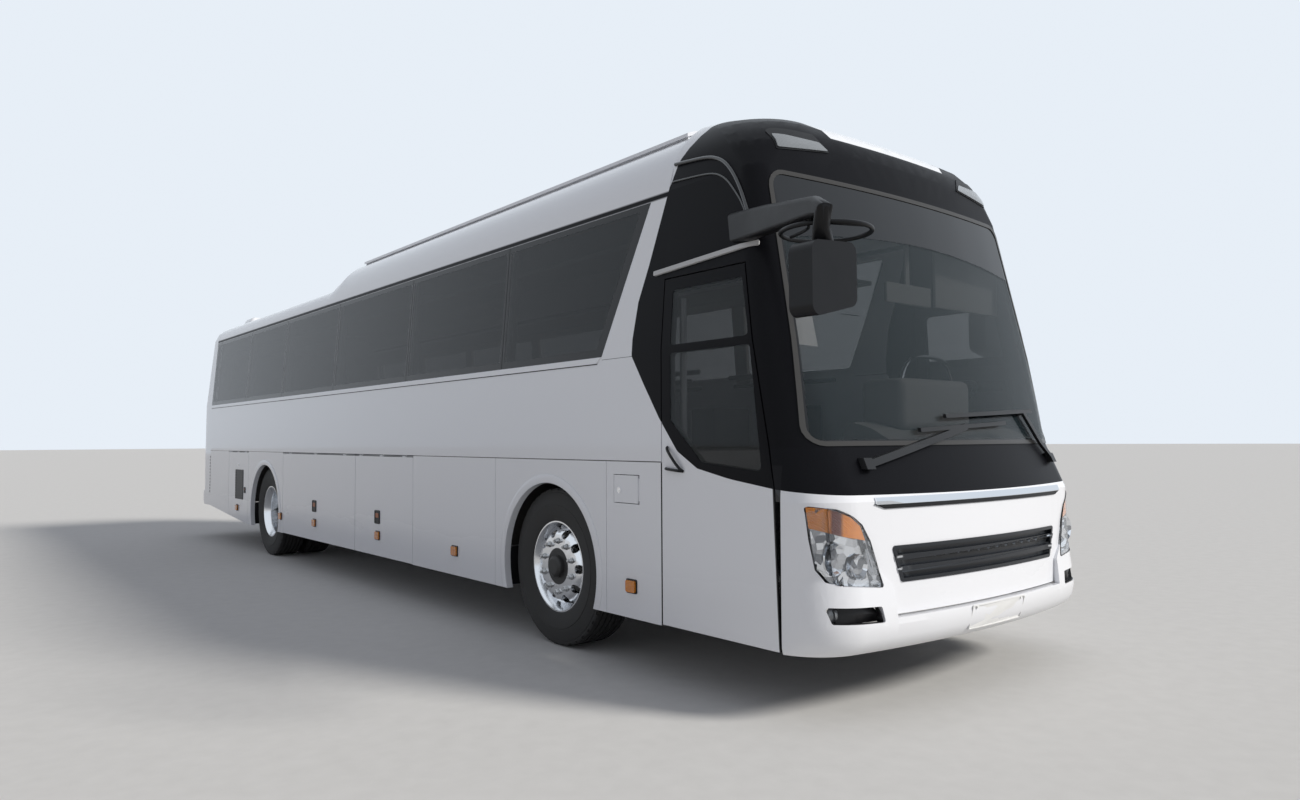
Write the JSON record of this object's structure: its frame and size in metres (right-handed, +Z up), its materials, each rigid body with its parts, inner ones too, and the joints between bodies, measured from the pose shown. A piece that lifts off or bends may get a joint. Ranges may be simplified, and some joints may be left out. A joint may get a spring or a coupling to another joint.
{
  "type": "coach bus",
  "caption": "Touring coach with hollow glazed body, swing-out front door, lift-up luggage and engine doors, coupled steering and free-turning wheels.",
  "frame": {"origin": "on the ground under the middle of the whole vehicle, mirrors included", "axes": "+Z up, +Y to the rear of the coach, +X to its left side"},
  "size_m": [3.3, 12.1401, 3.335],
  "materials": {
    "paint_white": "gloss",
    "paint_black": "gloss",
    "tinted_glass": "gloss",
    "clear_glass": "gloss",
    "lamp_lens": "gloss",
    "red_lens": "gloss",
    "chrome": "polished",
    "black_plastic": "satin",
    "grey_plastic": "matte",
    "frame_black": "satin",
    "cast": "rough",
    "wheel_aluminium": "polished",
    "tyre": "matte",
    "seat_fabric": "matte",
    "floor_lining": "matte",
    "steel": "satin"
  },
  "bodies": {
    "root": {"dashboard": "grey_plastic", "engine": "cast", "floor": "floor_lining", "front_axle": "cast", "front_band": "paint_black", "front_bumper": "paint_white", "front_corners": "paint_white", "front_lamps": "lamp_lens", "front_mask": "paint_black", "front_panel": "paint_white", "front_trim": "black_plastic", "hinges": "steel", "luggage_bay": "frame_black", "luggage_racks": "grey_plastic", "mirrors": "black_plastic", "rear_axle": "cast", "rear_bumper": "paint_white", "rear_wall": "paint_white", "rear_window": "tinted_glass", "roof_cover": "paint_white", "roof_front": "paint_white", "roof_rear": "paint_white", "seats": "seat_fabric", "side_glass": "tinted_glass", "side_wall_left": "paint_white", "side_wall_right": "paint_white", "skirts": "paint_white", "tail_lamps": "red_lens", "underframe": "frame_black", "wheel_housings": "frame_black", "windscreen": "clear_glass", "wipers": "black_plastic"},
    "front_door": {"front_door": "paint_white", "door_glass": "tinted_glass"},
    "door_arms": {"door_arms": "steel"},
    "engine_door": {"engine_door": "paint_white"},
    "filler_flap": {"filler_flap": "paint_white"},
    "knuckle_left": {"knuckle_left": "cast"},
    "knuckle_right": {"knuckle_right": "cast"},
    "tie_rod": {"tie_rod": "steel"},
    "steering_wheel": {"steering_wheel": "black_plastic"},
    "luggage_door_left_front": {"luggage_door_left_front": "paint_white"},
    "luggage_door_left_rear": {"luggage_door_left_rear": "paint_white"},
    "luggage_door_right_front": {"luggage_door_right_front": "paint_white"},
    "luggage_door_right_rear": {"luggage_door_right_rear": "paint_white"},
    "service_door_left": {"service_door_left": "paint_white"},
    "service_door_right": {"service_door_right": "paint_white"},
    "wheel_front_left": {"wheel_front_left": "wheel_aluminium", "tyre_front_left": "tyre"},
    "wheel_front_right": {"wheel_front_right": "wheel_aluminium", "tyre_front_right": "tyre"},
    "wheel_rear_left": {"wheel_rear_left": "wheel_aluminium", "tyre_rear_left": "tyre"},
    "wheel_rear_right": {"wheel_rear_right": "wheel_aluminium", "tyre_rear_right": "tyre"}
  },
  "joints": [
    {"name": "steer_left", "type": "hinge", "parent": "root", "child": "knuckle_left", "pos_m": [0.9, -3.38, 0.518], "axis": [0, 0, 1], "range_deg": [-40, 40]},
    {"name": "steer_right", "type": "hinge", "parent": "root", "child": "knuckle_right", "pos_m": [-0.9, -3.38, 0.518], "axis": [0, 0, 1], "range_deg": [-40, 40]},
    {"name": "tie_rod_swing", "type": "hinge", "parent": "knuckle_left", "child": "tie_rod", "pos_m": [0.845, -3.18, 0.4], "axis": [0, 0, 1], "range_deg": [-40, 40]},
    {"name": "steering_wheel_turn", "type": "hinge", "parent": "root", "child": "steering_wheel", "pos_m": [0.64, -5.14, 1.59], "axis": [0, 0.5299, 0.848], "range_deg": [-640, 640]},
    {"name": "spin_front_left", "type": "hinge", "parent": "knuckle_left", "child": "wheel_front_left", "pos_m": [1.04, -3.38, 0.518], "axis": [1, 0, 0], "continuous": true},
    {"name": "spin_front_right", "type": "hinge", "parent": "knuckle_right", "child": "wheel_front_right", "pos_m": [-1.04, -3.38, 0.518], "axis": [1, 0, 0], "continuous": true},
    {"name": "spin_rear_left", "type": "hinge", "parent": "root", "child": "wheel_rear_left", "pos_m": [1.04, 2.83, 0.518], "axis": [1, 0, 0], "continuous": true},
    {"name": "spin_rear_right", "type": "hinge", "parent": "root", "child": "wheel_rear_right", "pos_m": [-1.04, 2.83, 0.518], "axis": [1, 0, 0], "continuous": true},
    {"name": "door_arm_swing", "type": "hinge", "parent": "root", "child": "door_arms", "pos_m": [-1.14, -4.63, 1.3], "axis": [0, 0, -1], "range_deg": [0, 155]},
    {"name": "door_leaf_turn", "type": "hinge", "parent": "door_arms", "child": "front_door", "pos_m": [-1.12, -5.03, 1.3], "axis": [0, 0, -1], "range_deg": [-155, 0]},
    {"name": "luggage_door_left_front_lift", "type": "hinge", "parent": "root", "child": "luggage_door_left_front", "pos_m": [1.24, 0, 1.221], "axis": [0, -1, 0], "range_deg": [0, 85]},
    {"name": "luggage_door_left_rear_lift", "type": "hinge", "parent": "root", "child": "luggage_door_left_rear", "pos_m": [1.24, 0, 1.221], "axis": [0, -1, 0], "range_deg": [0, 85]},
    {"name": "luggage_door_right_front_lift", "type": "hinge", "parent": "root", "child": "luggage_door_right_front", "pos_m": [-1.24, 0, 1.221], "axis": [0, 1, 0], "range_deg": [0, 85]},
    {"name": "luggage_door_right_rear_lift", "type": "hinge", "parent": "root", "child": "luggage_door_right_rear", "pos_m": [-1.24, 0, 1.221], "axis": [0, 1, 0], "range_deg": [0, 85]},
    {"name": "service_door_left_lift", "type": "hinge", "parent": "root", "child": "service_door_left", "pos_m": [1.24, 0, 1.221], "axis": [0, -1, 0], "range_deg": [0, 85]},
    {"name": "service_door_right_lift", "type": "hinge", "parent": "root", "child": "service_door_right", "pos_m": [-1.24, 0, 1.221], "axis": [0, 1, 0], "range_deg": [0, 85]},
    {"name": "engine_door_lift", "type": "hinge", "parent": "root", "child": "engine_door", "pos_m": [0, 5.98, 1.548], "axis": [1, 0, 0], "range_deg": [0, 75]},
    {"name": "filler_flap_swing", "type": "hinge", "parent": "root", "child": "filler_flap", "pos_m": [-1.239, -4.352, 1.065], "axis": [0, 0, -1], "range_deg": [-100, 0]}
  ],
  "couplings": [
    {"joint": "steer_right", "follows": "steer_left", "ratio": 1},
    {"joint": "tie_rod_swing", "follows": "steer_left", "ratio": -1},
    {"joint": "steering_wheel_turn", "follows": "steer_left", "ratio": 16},
    {"joint": "door_leaf_turn", "follows": "door_arm_swing", "ratio": -1}
  ]
}
